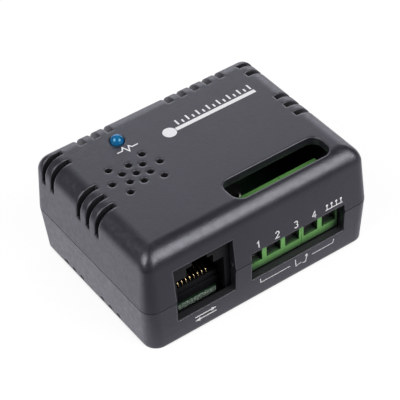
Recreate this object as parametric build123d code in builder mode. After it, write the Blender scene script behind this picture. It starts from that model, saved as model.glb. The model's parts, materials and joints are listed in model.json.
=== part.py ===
from build123d import *
import math
import os

os.makedirs("parts", exist_ok=True)

# Rack temperature sensor in millimetres, +Z up, its connectors face -Y.
# The origin is the middle of the underside.

# Case: two mouldings that meet at the seam and draw in away from it
case_width = 58.66
case_depth = 44.9
case_height = 26.0
seam_height = 11.26
seam_gap = 0.2
upper_draft = 4.5
lower_draft = 3.3
corner_radius = 3.1
top_edge_radius = 4.4
base_edge_radius = 0.5
wall = 2.0
roof_thickness = 2.0
floor_thickness = 2.0
inner_corner_radius = 1.6

# Tongue on the lower rim, rebate in the upper one
tongue_thickness = 0.9
tongue_height = 1.3
tongue_clearance = 0.15

# Screw bosses in the corners, measured in from the case sides
front_boss_inset_x = 4.83
front_boss_inset_y = 4.75
rear_boss_inset_x = 7.98
rear_boss_inset_y = 4.85
upper_boss_radius = 1.9
lower_boss_radius = 3.0
boss_joint_height = 5.0
counterbore_radius = 2.2
counterbore_depth = 2.2
screw_radius = 1.1
screw_length = 12.0
screw_head_radius = 1.95
screw_head_height = 1.5
screw_hole_clearance = 0.06
screw_free_clearance = 0.18
screw_tip_room = 1.0
cross_recess_width = 0.55
cross_recess_depth = 0.7

# Vents that wrap the top edge
vent_width = 1.6
vent_drop = 6.35
vent_pitch = 3.52
side_vent_inset = 5.93
side_vent_from_rear = 4.73
side_vent_rear_count = 2
side_vent_middle_y = 3.66
side_vent_middle_count = 3
rear_vent_inset = 5.62
rear_vent_pitch = 3.492
rear_vent_from_left = 10.94
rear_vent_left_count = 3
rear_vent_from_right = 10.76
rear_vent_right_count = 5

# Vents in the bottom edge
base_vent_width = 1.5
base_vent_height = 1.3
base_vent_round = 0.6
base_vent_inset = 5.93
base_vent_pitch = 3.15
base_vent_from_rear = 10.55
base_vent_middle_y = -2.65
base_vent_count = 3

# Round grille over the sensing chip
grille_from_left = 14.82
grille_y = 2.07
grille_hole_radius = 0.85
grille_inner_ring = 3.0
grille_outer_ring = 6.03
grille_inner_angles = (30, 90, 150, 210, 270, 330)
grille_outer_angles = (0, 45, 135, 180, 225, 315)

# Circuit board on posts
post_height = 2.05
post_radius = 2.2
post_inset_x = 8.83
post_behind_jack = 2.95
post_from_rear = 11.95
locating_pin_radius = 0.9
locating_pin_rise = 0.8
board_thickness = 1.6
board_clearance = 0.4
board_front_setback = 5.6
board_tab_width = 9.8
board_tab_setback = 4.0
board_hole_radius = 1.0
board_screw_radius = 1.0
board_screw_head_radius = 1.9
board_screw_head_height = 1.3
board_screw_reach = 4.1
lead_hole_radius = 0.45

# Data jack, measured from the left side and the front of the case
jack_side_margin = 6.83
jack_setback = 2.2
jack_width = 15.9
jack_depth = 15.5
jack_height = 13.35
jack_lap = 0.4
jack_sill_drop = 0.16
jack_head_room = 0.87
jack_relief = 0.15
cavity_width = 12.05
cavity_depth = 11.2
cavity_floor_rise = 2.35
cavity_height = 6.8
latch_wide_width = 6.8
latch_wide_rise = 2.2
latch_narrow_width = 3.8
latch_narrow_rise = 3.6
latch_depth = 8.5
insert_setback = 2.3
insert_clearance = 0.05
comb_rise = 1.3
comb_front_wall = 0.4
comb_rear_wall = 0.5
contact_count = 8
contact_pitch = 1.02
contact_width = 0.44
contact_thickness = 0.3
contact_slot_clearance = 0.08
contact_bend_radius = 0.7
contact_knee_setback = 3.4
contact_knee_height = 4.3
contact_slope = 36.0
contact_slope_length = 6.2
contact_run_height = 0.95
contact_tail_setback = 11.0
contact_tail_stagger = 2.0
tail_length = 1.1

# Screw terminals, measured from the right side and the front of the case;
# they share the width that the jack leaves free
terminal_side_margin = 7.13
connector_gap = 3.8
terminal_setback = 2.5
three_way_count = 3
two_way_count = 2
terminal_depth = 8.1
terminal_height = 13.95
terminal_joint_gap = 0.08
terminal_opening_gap = 0.1
terminal_sill_drop = 0.06
terminal_opening_height = 7.8
terminal_slope_start = 9.6
terminal_slope_depth = 1.6
window_partition = 1.2
window_sill = 2.05
window_height = 6.6
terminal_screw_setback = 4.45
screw_well_wall = 0.55
screw_well_depth = 4.0
terminal_screw_head_clearance = 0.15
terminal_screw_head_height = 1.8
terminal_screw_shoulder = 0.5
terminal_screw_clearance = 0.1
driver_slot_width = 0.7
driver_slot_depth = 0.9
clamp_setback = 1.5
clamp_rear_gap = 0.2
clamp_side_gap = 0.1
clamp_side_wall = 0.5
clamp_floor_wall = 0.8
clamp_height = 5.6
clamp_top_wall = 1.4
pin_side_gap = 0.1
pin_thickness = 0.8
pin_tongue_setback = 2.0
pin_rear_cover = 0.9

# Slot in the roof for the screwdriver
driver_opening_margin_x = 0.25
driver_opening_width_y = 6.89
driver_opening_offset_y = 0.56
driver_opening_radius = 2.5

# Status lamp on a spacer
led_from_left = 17.28
led_y = 13.26
led_radius = 1.5
led_length = 5.3
led_flange_radius = 1.9
led_flange_height = 1.0
led_proud = 1.55
led_hole_clearance = 0.22
led_bush_wall = 1.0
led_lead_width = 0.5
led_lead_pitch = 2.54
led_spacer_radius = 2.4

# Sensing chip on its thermally slotted island
chip_size = 3.0
chip_height = 1.1
chip_port_radius = 0.7
chip_port_depth = 0.3
island_size = 7.2
island_slot_width = 1.0
island_neck = 3.0

# Leaded chips on the board
lead_thickness = 0.2
lead_standoff = 0.1
lead_shoulder = 0.35
controller_x = 0.5
controller_y = 7.0
controller_size = 7.0
controller_height = 1.4
controller_span = 9.0
controller_lead_pitch = 0.8
controller_lead_width = 0.35
controller_side_lead_count = 8
driver_chip_gap = 1.75
driver_chip_y = -4.2
driver_chip_length = 4.9
driver_chip_width = 3.9
driver_chip_height = 1.5
driver_chip_span = 6.0
driver_chip_lead_pitch = 1.27
driver_chip_lead_width = 0.42
driver_chip_side_lead_count = 4
isolator_count = 4
isolator_side_gap = 0.9
isolator_width = 4.4
isolator_height = 2.0
isolator_span = 6.8
isolator_lead_inset = 0.78
isolator_lead_width = 0.5
isolator_side_lead_count = 2
isolator_gap = 0.7
regulator_x = 8.5
regulator_gap = 1.35
regulator_length = 6.5
regulator_width = 3.5
regulator_height = 1.6
regulator_span = 7.0
regulator_tab_width = 3.0
regulator_lead_width = 0.7
regulator_lead_pitch = 2.3
regulator_lead_count = 3

# Other parts on the board
crystal_gap = 0.6
crystal_length = 5.0
crystal_width = 3.2
crystal_height = 1.2
crystal_corner = 0.6
can_post_gap = 5.3
can_y = 11.6
can_radius = 3.15
can_height = 6.7
can_edge_radius = 0.5
can_base_size = 6.6
can_base_height = 1.0
can_base_chamfer = 1.2
resistor_length = 1.6
resistor_width = 0.8
resistor_height = 0.45
resistor_pitch_gap = 1.9
resistor_count = 5
resistor_row_gap = 0.8
resistor_row_shift = 1.2
capacitor_length = 2.0
capacitor_width = 1.25
capacitor_height = 0.9
capacitor_pitch = 3.0
capacitor_count = 4
capacitor_row_gap = 1.6
capacitor_row_front_y = 0.0

# Keyholes in the floor for hanging on two screws
keyhole_post_gap = 7.5
keyhole_y = 2.0
keyhole_travel = 5.5
keyhole_head_radius = 3.1
keyhole_slot_radius = 1.7

# Heights and edges worked out from the sizes above
front_y = -case_depth / 2
rear_y = case_depth / 2
left_x = -case_width / 2
right_x = case_width / 2
lower_rim = seam_height - seam_gap / 2
upper_rim = seam_height + seam_gap / 2
roof_underside = case_height - roof_thickness
tongue_top = lower_rim + tongue_height
board_bottom = floor_thickness + post_height
board_top = board_bottom + board_thickness
tail_end = board_bottom - tail_length
lower_slope = math.tan(math.radians(lower_draft))
wall_cut = wall + (lower_rim + case_height) * math.tan(math.radians(upper_draft))
inner_edge_radius = top_edge_radius - roof_thickness

grille_x = left_x + grille_from_left
led_x = left_x + led_from_left
vent_foot = case_height - vent_drop

jack_x = left_x + jack_side_margin + jack_width / 2
jack_right = left_x + jack_side_margin + jack_width
jack_face = front_y + jack_setback
jack_rear = jack_face + jack_depth
jack_top = board_top + jack_height
cavity_floor = board_top + cavity_floor_rise
cavity_top = cavity_floor + cavity_height

terminal_ways = three_way_count + two_way_count
terminal_left = jack_right + connector_gap
terminal_right = right_x - terminal_side_margin
terminal_pitch = (terminal_right - terminal_left) / terminal_ways
terminal_x = (terminal_left + terminal_right) / 2
window_width = terminal_pitch - window_partition
screw_well_radius = terminal_pitch / 2 - screw_well_wall
terminal_screw_head_radius = screw_well_radius - terminal_screw_head_clearance
terminal_screw_radius = terminal_screw_head_radius - terminal_screw_shoulder
clamp_width = window_width - 2 * clamp_side_gap
clear_width = clamp_width - 2 * clamp_side_wall
pin_width = clear_width - 2 * pin_side_gap
terminal_face = front_y + terminal_setback
terminal_rear = terminal_face + terminal_depth
terminal_top = board_top + terminal_height
terminal_screw_y = terminal_face + terminal_screw_setback
well_floor = terminal_top - screw_well_depth
window_floor = board_top + window_sill
window_top = window_floor + window_height
way_x = [terminal_left + (way + 0.5) * terminal_pitch for way in range(terminal_ways)]
clamp_top = window_floor + clamp_height
clamp_face = terminal_face + clamp_setback
tongue_level = clamp_top - clamp_top_wall
pin_rear = terminal_rear - pin_rear_cover
clamp_rear = pin_rear - pin_thickness - clamp_rear_gap
window_depth = pin_rear + clamp_side_gap - terminal_face

led_top = case_height + led_proud
led_seat = led_top - led_length
led_bush_bottom = led_seat + led_flange_height + led_hole_clearance

front_boss_x = right_x - front_boss_inset_x
front_boss_y = front_y + front_boss_inset_y
rear_boss_x = right_x - rear_boss_inset_x
rear_boss_y = rear_y - rear_boss_inset_y
bosses = [
    (-front_boss_x, front_boss_y),
    (front_boss_x, front_boss_y),
    (-rear_boss_x, rear_boss_y),
    (rear_boss_x, rear_boss_y),
]
post_x = right_x - post_inset_x
post_front_y = jack_rear + post_behind_jack
post_rear_y = rear_y - post_from_rear
screw_posts = [(-post_x, post_front_y), (post_x, post_rear_y)]
pin_posts = [(-post_x, post_rear_y), (post_x, post_front_y)]
led_lead_spots = [(led_x + side * led_lead_pitch / 2, led_y) for side in (-1, 1)]
contact_x = [jack_x + (i - (contact_count - 1) / 2) * contact_pitch for i in range(contact_count)]
contact_tail_y = [
    jack_face + contact_tail_setback + (i % 2) * contact_tail_stagger for i in range(contact_count)
]

# Downward plane at the lower rim, and the plane of the case front
rim_down = Plane(origin=(0, 0, lower_rim), x_dir=(1, 0, 0), z_dir=(0, 0, -1))
front_plane = Plane.XZ.offset(-front_y)


def at(height):
    """The level plane at a height."""
    return Plane.XY.offset(height)


def save(piece, name):
    """Name a finished piece and write it."""
    piece.part.label = name
    export_step(piece.part, f"parts/{name}.step")


def rounded_outline(inset, radius):
    """The case outline at the seam, drawn in by a distance."""
    RectangleRounded(case_width - 2 * inset, case_depth - 2 * inset, radius)


def cut_front_openings():
    """Openings for the jack and the terminals, which cross the seam."""
    jack_sill = board_top - jack_sill_drop
    jack_head = jack_top + jack_head_room
    terminal_sill = board_top - terminal_sill_drop
    with BuildSketch(front_plane) as openings:
        with Locations((jack_x, (jack_sill + jack_head) / 2)):
            Rectangle(jack_width - 2 * jack_lap, jack_head - jack_sill)
        with Locations((terminal_x, terminal_sill + terminal_opening_height / 2)):
            Rectangle(
                terminal_ways * terminal_pitch + 2 * terminal_opening_gap,
                terminal_opening_height,
            )
    extrude(openings.sketch, amount=-wall_cut, mode=Mode.SUBTRACT)


def cut_jack_relief():
    """Room behind the front wall, where the jack stands wider than its opening."""
    with BuildSketch(at(board_top - jack_relief)) as relief:
        with Locations((jack_x, (jack_face + jack_rear) / 2)):
            Rectangle(jack_width + 2 * jack_relief, jack_depth + 2 * jack_relief)
    extrude(relief.sketch, amount=jack_height + 2 * jack_relief, mode=Mode.SUBTRACT)


def cross_recess(spots, height, depth, radius):
    """Cross recess in screw heads."""
    with BuildSketch(at(height)) as cross:
        with Locations(*spots):
            Rectangle(2 * radius, cross_recess_width)
            Rectangle(cross_recess_width, 2 * radius)
    extrude(cross.sketch, amount=depth, mode=Mode.SUBTRACT)


def pin_row(count, pitch):
    """Places of a row of pins about its middle."""
    return [(i - (count - 1) / 2) * pitch for i in range(count)]


def bent_lead(body_half, span_half, exit_rise, side):
    """Section of a bent lead, from the chip's side down to its foot on the board."""
    knee = body_half + lead_shoulder
    outline = [
        (body_half, exit_rise + lead_thickness),
        (knee + lead_thickness, exit_rise + lead_thickness),
        (knee + lead_thickness, lead_thickness),
        (span_half, lead_thickness),
        (span_half, 0),
        (knee, 0),
        (knee, exit_rise),
        (body_half, exit_rise),
    ]
    return [(side * across, board_top + rise) for across, rise in outline]


def leads_across_y(x, y, count, pitch, width, body_width, span, height):
    """Leads on the front and rear sides of a chip."""
    for offset in pin_row(count, pitch):
        for side in (-1, 1):
            with BuildSketch(Plane.YZ.offset(x + offset)) as lead:
                with BuildLine():
                    section = bent_lead(body_width / 2, span / 2, height / 2, side)
                    Polyline([(y + across, rise) for across, rise in section], close=True)
                make_face()
            extrude(lead.sketch, amount=width / 2, both=True)


def leads_across_x(x, y, count, pitch, width, body_width, span, height):
    """Leads on the left and right sides of a chip."""
    for offset in pin_row(count, pitch):
        for side in (-1, 1):
            with BuildSketch(Plane.XZ.offset(-(y + offset))) as lead:
                with BuildLine():
                    section = bent_lead(body_width / 2, span / 2, height / 2, side)
                    Polyline([(x + across, rise) for across, rise in section], close=True)
                make_face()
            extrude(lead.sketch, amount=width / 2, both=True)


# Upper cover: drafted moulding with a large top radius, open underneath
with BuildPart() as upper_hollow:
    with BuildSketch(at(upper_rim)):
        rounded_outline(wall, inner_corner_radius)
    extrude(amount=roof_underside - upper_rim, taper=upper_draft)
    fillet(upper_hollow.faces().sort_by(Axis.Z)[-1].edges(), inner_edge_radius)

side_vent_rear = rear_y - side_vent_from_rear
side_vent_y = [side_vent_rear - i * vent_pitch for i in range(side_vent_rear_count)]
side_vent_y += [side_vent_middle_y - i * vent_pitch for i in range(side_vent_middle_count)]
rear_vent_left = left_x + rear_vent_from_left
rear_vent_right = right_x - rear_vent_from_right
rear_vent_x = [rear_vent_left + i * rear_vent_pitch for i in range(rear_vent_left_count)]
rear_vent_x += [rear_vent_right - i * rear_vent_pitch for i in range(rear_vent_right_count)]
grille_spots = [(grille_x, grille_y)]
for ring, angles in (
    (grille_inner_ring, grille_inner_angles),
    (grille_outer_ring, grille_outer_angles),
):
    for angle in angles:
        turn = math.radians(angle)
        spot = (grille_x + ring * math.cos(turn), grille_y + ring * math.sin(turn))
        grille_spots.append(spot)

with BuildPart() as upper_cover:
    with BuildSketch(at(upper_rim)):
        rounded_outline(0, corner_radius)
    extrude(amount=case_height - upper_rim, taper=upper_draft)
    fillet(upper_cover.faces().sort_by(Axis.Z)[-1].edges(), top_edge_radius)
    add(upper_hollow.part, mode=Mode.SUBTRACT)
    # Rebate for the tongue
    with BuildSketch(at(upper_rim)):
        rounded_outline(wall - tongue_thickness - tongue_clearance, corner_radius - tongue_thickness)
    extrude(amount=tongue_top + tongue_clearance - upper_rim, mode=Mode.SUBTRACT)
    cut_front_openings()
    cut_jack_relief()
    # Vents down the sides and the back
    with BuildSketch(at(vent_foot)):
        for side in (-1, 1):
            for y in side_vent_y:
                with Locations((side * right_x, y)):
                    Rectangle(2 * side_vent_inset, vent_width)
        for x in rear_vent_x:
            with Locations((x, rear_y)):
                Rectangle(vent_width, 2 * rear_vent_inset)
    extrude(amount=case_height, mode=Mode.SUBTRACT)
    # Bosses for the case screws, and the bush that guides the lamp
    with BuildSketch(at(boss_joint_height)):
        with Locations(*bosses):
            Circle(upper_boss_radius)
    extrude(amount=roof_underside + roof_thickness / 2 - boss_joint_height)
    with BuildSketch(at(led_bush_bottom)):
        with Locations((led_x, led_y)):
            Circle(led_radius + led_hole_clearance + led_bush_wall)
    extrude(amount=roof_underside + roof_thickness / 2 - led_bush_bottom)
    with BuildSketch(at(boss_joint_height)):
        with Locations(*bosses):
            Circle(screw_radius + screw_hole_clearance)
    extrude(
        amount=counterbore_depth + screw_length + screw_tip_room - boss_joint_height,
        mode=Mode.SUBTRACT,
    )
    # Grille, lamp hole and screwdriver slot through the roof
    with BuildSketch(at(roof_underside - roof_thickness)):
        with Locations(*grille_spots):
            Circle(grille_hole_radius)
        with Locations((led_x, led_y)):
            Circle(led_radius + led_hole_clearance)
        with Locations((terminal_x, terminal_screw_y + driver_opening_offset_y)):
            RectangleRounded(
                terminal_ways * terminal_pitch + 2 * driver_opening_margin_x,
                driver_opening_width_y,
                driver_opening_radius,
            )
    extrude(amount=case_height, mode=Mode.SUBTRACT)
save(upper_cover, "upper_cover")

# Lower cover: tray with tongue, bosses, posts, keyholes and vents
with BuildPart() as lower_hollow:
    with BuildSketch(rim_down):
        rounded_outline(wall, inner_corner_radius)
    extrude(amount=lower_rim - floor_thickness, taper=lower_draft)

base_vent_rear = rear_y - base_vent_from_rear
base_vent_y = [base_vent_rear - i * base_vent_pitch for i in range(base_vent_count)]
base_vent_y += [base_vent_middle_y - i * base_vent_pitch for i in range(base_vent_count)]
keyhole_x = post_x - keyhole_post_gap
inner_floor_x = right_x - wall - (lower_rim - floor_thickness) * lower_slope
base_vent_end = right_x - base_vent_inset

with BuildPart() as lower_cover:
    with BuildSketch(rim_down):
        Rectangle(case_width, case_depth)
    extrude(amount=lower_rim, taper=lower_draft)
    fillet(lower_cover.edges().group_by(Axis.Z)[1], corner_radius)
    fillet(lower_cover.faces().sort_by(Axis.Z)[0].edges(), base_edge_radius)
    add(lower_hollow.part, mode=Mode.SUBTRACT)
    # Tongue round the rim
    with BuildSketch(at(lower_rim)):
        rounded_outline(wall - tongue_thickness, corner_radius - tongue_thickness)
        with BuildSketch(at(lower_rim), mode=Mode.PRIVATE) as tongue_inside:
            rounded_outline(wall, inner_corner_radius)
        add(tongue_inside.sketch, mode=Mode.SUBTRACT)
    extrude(amount=tongue_height)
    cut_front_openings()
    cut_jack_relief()
    # Bosses with counterbored holes, and the posts under the board
    with BuildSketch(at(base_edge_radius)):
        with Locations(*bosses):
            Circle(lower_boss_radius)
    extrude(amount=boss_joint_height - base_edge_radius)
    with BuildSketch(at(floor_thickness / 2)):
        with Locations(*screw_posts, *pin_posts):
            Circle(post_radius)
    extrude(amount=board_bottom - floor_thickness / 2)
    with BuildSketch(at(board_bottom)):
        with Locations(*pin_posts):
            Circle(locating_pin_radius)
    extrude(amount=board_thickness + locating_pin_rise)
    with BuildSketch(at(0)):
        with Locations(*bosses):
            Circle(screw_radius + screw_free_clearance)
    extrude(amount=boss_joint_height, mode=Mode.SUBTRACT)
    with BuildSketch(at(0)):
        with Locations(*bosses):
            Circle(counterbore_radius)
    extrude(amount=counterbore_depth, mode=Mode.SUBTRACT)
    with BuildSketch(at(board_top - board_screw_reach - screw_hole_clearance)):
        with Locations(*screw_posts):
            Circle(board_screw_radius + screw_hole_clearance)
    extrude(amount=board_top, mode=Mode.SUBTRACT)
    # Vents: through the floor beside the wall, and a low notch out through the wall
    with BuildSketch(at(0)):
        for side in (-1, 1):
            for y in base_vent_y:
                with Locations((side * (base_vent_end + inner_floor_x) / 2, y)):
                    Rectangle(inner_floor_x - base_vent_end, base_vent_width)
    extrude(amount=floor_thickness, mode=Mode.SUBTRACT)
    for side in (-1, 1):
        with BuildSketch(Plane.YZ.offset(side * base_vent_end)):
            with Locations(*[(y, 0) for y in base_vent_y]):
                RectangleRounded(base_vent_width, 2 * base_vent_height, base_vent_round)
        extrude(amount=side * base_vent_inset, mode=Mode.SUBTRACT)
    # Keyholes
    with BuildSketch(at(0)):
        with Locations((-keyhole_x, keyhole_y), (keyhole_x, keyhole_y)):
            with Locations((0, -keyhole_travel / 2)):
                Circle(keyhole_head_radius)
            with Locations((0, keyhole_travel / 2)):
                Circle(keyhole_slot_radius)
            Rectangle(2 * keyhole_slot_radius, keyhole_travel)
    extrude(amount=floor_thickness, mode=Mode.SUBTRACT)
save(lower_cover, "lower_cover")

# Case screws, put in from below
with BuildPart() as case_screws:
    head_bottom = counterbore_depth - screw_head_height
    with BuildSketch(at(head_bottom)):
        with Locations(*bosses):
            Circle(screw_head_radius)
    extrude(amount=screw_head_height)
    with BuildSketch(at(counterbore_depth)):
        with Locations(*bosses):
            Circle(screw_radius)
    extrude(amount=screw_length)
    cross_recess(bosses, head_bottom, cross_recess_depth, screw_radius)
save(case_screws, "case_screws")

# Circuit board, cut round the bosses, with a tab under the jack's mouth
board_half_width = (
    right_x - wall - (lower_rim - board_bottom) * lower_slope - board_clearance
)
board_rear = rear_y - wall - (lower_rim - board_bottom) * lower_slope - board_clearance
board_front = front_y + board_front_setback
board_tab_front = front_y + board_tab_setback
pin_hole_y = pin_rear - pin_thickness / 2
with BuildPart() as circuit_board:
    with BuildSketch(at(board_bottom)):
        with Locations((0, (board_front + board_rear) / 2)):
            Rectangle(2 * board_half_width, board_rear - board_front)
        with Locations((jack_x, (board_tab_front + board_front) / 2)):
            Rectangle(board_tab_width, board_front - board_tab_front)
        with Locations(*bosses):
            Circle(lower_boss_radius + board_clearance, mode=Mode.SUBTRACT)
        with Locations(*screw_posts, *pin_posts):
            Circle(board_hole_radius, mode=Mode.SUBTRACT)
        with Locations(*led_lead_spots):
            Circle(lead_hole_radius, mode=Mode.SUBTRACT)
        with Locations(*[(x, y) for x, y in zip(contact_x, contact_tail_y)]):
            Circle(lead_hole_radius, mode=Mode.SUBTRACT)
        with Locations(*[(x, pin_hole_y) for x in way_x]):
            Rectangle(
                pin_width + 2 * pin_side_gap,
                pin_thickness + 2 * pin_side_gap,
                mode=Mode.SUBTRACT,
            )
        # Slots that keep the board's warmth from the sensing chip
        with Locations((grille_x, grille_y)):
            Rectangle(island_size, island_size, mode=Mode.SUBTRACT)
            Rectangle(
                island_size - 2 * island_slot_width,
                island_size - 2 * island_slot_width,
            )
            Rectangle(island_size, island_neck)
    extrude(amount=board_thickness)
save(circuit_board, "circuit_board")

# Board screws
with BuildPart() as board_screws:
    with BuildSketch(at(board_top - board_screw_reach)):
        with Locations(*screw_posts):
            Circle(board_screw_radius - screw_hole_clearance)
    extrude(amount=board_screw_reach)
    with BuildSketch(at(board_top)):
        with Locations(*screw_posts):
            Circle(board_screw_head_radius)
    extrude(amount=board_screw_head_height)
    cross_recess(
        screw_posts,
        board_top + board_screw_head_height,
        -cross_recess_depth,
        board_screw_radius,
    )
save(board_screws, "board_screws")

# Jack housing: cavity, stepped latch channel, open bottom for the insert
insert_face = jack_face + insert_setback
jack_plane = Plane.XZ.offset(-jack_face)
with BuildPart() as jack_housing:
    with BuildSketch(at(board_top)):
        with Locations((jack_x, (jack_face + jack_rear) / 2)):
            Rectangle(jack_width, jack_depth)
    extrude(amount=jack_height)
    with BuildSketch(jack_plane):
        with Locations((jack_x, (cavity_floor + cavity_top) / 2)):
            Rectangle(cavity_width, cavity_height)
    extrude(amount=-cavity_depth, mode=Mode.SUBTRACT)
    with BuildSketch(jack_plane):
        with Locations((jack_x, (cavity_floor + cavity_top + latch_wide_rise) / 2)):
            Rectangle(latch_wide_width, cavity_height + latch_wide_rise)
        with Locations((jack_x, (cavity_floor + cavity_top + latch_narrow_rise) / 2)):
            Rectangle(latch_narrow_width, cavity_height + latch_narrow_rise)
    extrude(amount=-latch_depth, mode=Mode.SUBTRACT)
    # Bottom, open between the side walls
    with BuildSketch(at(board_top)):
        with Locations((jack_x, (jack_face + jack_rear) / 2)):
            Rectangle(cavity_width, jack_depth)
    extrude(amount=cavity_floor_rise, mode=Mode.SUBTRACT)
save(jack_housing, "jack_housing")

# Insert that carries the contacts, with a comb of slots
contact_run = board_top + contact_run_height
slot_width = contact_width + 2 * contact_slot_clearance
knee_y = jack_face + contact_knee_setback
with BuildPart() as jack_contact_insert:
    insert_depth = jack_rear - insert_face
    with BuildSketch(at(board_top)):
        with Locations((jack_x, (insert_face + jack_rear) / 2)):
            Rectangle(cavity_width - 2 * insert_clearance, insert_depth)
    extrude(amount=cavity_floor_rise - insert_clearance)
    slot_front = knee_y - contact_thickness
    comb_front = slot_front - comb_front_wall
    comb_rear = knee_y + contact_thickness + comb_rear_wall
    with BuildSketch(at(board_top)):
        with Locations((jack_x, (comb_front + comb_rear) / 2)):
            Rectangle(cavity_width - 2 * insert_clearance, comb_rear - comb_front)
    extrude(amount=cavity_floor_rise + comb_rise)
    with BuildSketch(at(contact_run - contact_thickness / 2 - contact_slot_clearance)):
        for x, tail_y in zip(contact_x, contact_tail_y):
            slot_rear = tail_y + contact_thickness
            with Locations((x, (slot_front + slot_rear) / 2)):
                Rectangle(slot_width, slot_rear - slot_front)
    extrude(amount=cavity_floor_rise + comb_rise, mode=Mode.SUBTRACT)
    with BuildSketch(at(board_top)):
        for x, tail_y in zip(contact_x, contact_tail_y):
            with Locations((x, tail_y - contact_bend_radius / 2)):
                Rectangle(slot_width, 2 * contact_thickness + contact_bend_radius)
    extrude(amount=cavity_floor_rise, mode=Mode.SUBTRACT)
save(jack_contact_insert, "jack_contact_insert")

# Eight contacts: tail through the board, run forward, up, and back on a slope
slope = math.radians(contact_slope)
with BuildPart() as jack_contacts:
    for x, tail_y in zip(contact_x, contact_tail_y):
        knee = board_top + contact_knee_height
        tip_y = knee_y + contact_slope_length * math.cos(slope)
        tip_z = knee + contact_slope_length * math.sin(slope)
        route = [
            (x, tail_y, tail_end),
            (x, tail_y, contact_run),
            (x, knee_y, contact_run),
            (x, knee_y, knee),
            (x, tip_y, tip_z),
        ]
        with BuildLine() as wire:
            FilletPolyline(*route, radius=contact_bend_radius)
        with BuildSketch(Plane(origin=route[0], x_dir=(1, 0, 0), z_dir=(0, 0, 1))):
            Rectangle(contact_width, contact_thickness)
        sweep(path=wire.line)
save(jack_contacts, "jack_contacts")


def terminal_housing(first_way, ways, left_gap, right_gap):
    """One moulded terminal strip with a wire window and a screw well for each way."""
    start = terminal_left + first_way * terminal_pitch + left_gap
    end = terminal_left + (first_way + ways) * terminal_pitch - right_gap
    centres = way_x[first_way : first_way + ways]
    with BuildPart() as housing:
        with BuildSketch(Plane.YZ.offset(start)):
            with BuildLine():
                Polyline(
                    (terminal_face, board_top),
                    (terminal_face, board_top + terminal_slope_start),
                    (terminal_face + terminal_slope_depth, terminal_top),
                    (terminal_rear, terminal_top),
                    (terminal_rear, board_top),
                    close=True,
                )
            make_face()
        extrude(amount=end - start)
        with BuildSketch(Plane.XZ.offset(-terminal_face)):
            with Locations(*[(x, (window_floor + window_top) / 2) for x in centres]):
                Rectangle(window_width, window_height)
        extrude(amount=-window_depth, mode=Mode.SUBTRACT)
        with BuildSketch(at(terminal_top)):
            with Locations(*[(x, terminal_screw_y) for x in centres]):
                Circle(screw_well_radius)
        extrude(amount=-screw_well_depth, mode=Mode.SUBTRACT)
        with BuildSketch(at(well_floor)):
            with Locations(*[(x, terminal_screw_y) for x in centres]):
                Circle(terminal_screw_radius + terminal_screw_clearance)
        extrude(amount=window_top - well_floor, mode=Mode.SUBTRACT)
        # Passage for the pin down to the board
        with BuildSketch(at(board_top)):
            with Locations(*[(x, pin_hole_y) for x in centres]):
                Rectangle(pin_width + 2 * pin_side_gap, pin_thickness + 2 * pin_side_gap)
        extrude(amount=window_sill, mode=Mode.SUBTRACT)
    return housing


half_joint = terminal_joint_gap / 2
save(terminal_housing(0, three_way_count, 0, half_joint), "terminal_housing_three_way")
save(terminal_housing(three_way_count, two_way_count, half_joint, 0), "terminal_housing_two_way")

# Terminal screws, standing in their wells on the clamps' tongues
screw_spots = [(x, terminal_screw_y) for x in way_x]
with BuildPart() as terminal_screws:
    with BuildSketch(at(well_floor)):
        with Locations(*screw_spots):
            Circle(terminal_screw_head_radius)
    extrude(amount=terminal_screw_head_height)
    with BuildSketch(at(tongue_level)):
        with Locations(*screw_spots):
            Circle(terminal_screw_radius)
    extrude(amount=well_floor - tongue_level)
    with BuildSketch(at(well_floor + terminal_screw_head_height)):
        with Locations(*screw_spots):
            Rectangle(driver_slot_width, 2 * terminal_screw_head_radius)
    extrude(amount=-driver_slot_depth, mode=Mode.SUBTRACT)
save(terminal_screws, "terminal_screws")

# Wire clamps: a cage in each window, open to the front
with BuildPart() as wire_clamps:
    clear_bottom = window_floor + clamp_floor_wall
    with BuildSketch(Plane.XZ.offset(-clamp_face)):
        with Locations(*[(x, window_floor + clamp_height / 2) for x in way_x]):
            Rectangle(clamp_width, clamp_height)
        with Locations(*[(x, (clear_bottom + tongue_level) / 2) for x in way_x]):
            Rectangle(clear_width, tongue_level - clear_bottom, mode=Mode.SUBTRACT)
    extrude(amount=clamp_face - clamp_rear)
    with BuildSketch(at(tongue_level)):
        with Locations(*screw_spots):
            Circle(terminal_screw_radius + screw_hole_clearance)
    extrude(amount=clamp_height, mode=Mode.SUBTRACT)
save(wire_clamps, "wire_clamps")

# Terminal pins: a tongue under each screw, bent down through the board
with BuildPart() as terminal_pins:
    for x in way_x:
        with BuildSketch(Plane.YZ.offset(x)):
            with BuildLine():
                Polyline(
                    (terminal_face + pin_tongue_setback, tongue_level),
                    (pin_rear, tongue_level),
                    (pin_rear, tail_end),
                    (pin_rear - pin_thickness, tail_end),
                    (pin_rear - pin_thickness, tongue_level - pin_thickness),
                    (terminal_face + pin_tongue_setback, tongue_level - pin_thickness),
                    close=True,
                )
            make_face()
        extrude(amount=pin_width / 2, both=True)
save(terminal_pins, "terminal_pins")

# Status lamp: flanged lens with a round dome
with BuildPart() as status_led:
    with BuildSketch(Plane.XZ.offset(-led_y)):
        with BuildLine():
            Polyline(
                (led_x, led_top),
                (led_x, led_seat),
                (led_x + led_flange_radius, led_seat),
                (led_x + led_flange_radius, led_seat + led_flange_height),
                (led_x + led_radius, led_seat + led_flange_height),
                (led_x + led_radius, led_top - led_radius),
            )
            RadiusArc((led_x + led_radius, led_top - led_radius), (led_x, led_top), -led_radius)
        make_face()
    revolve(axis=Axis((led_x, led_y, 0), (0, 0, 1)))
save(status_led, "status_led")

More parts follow.
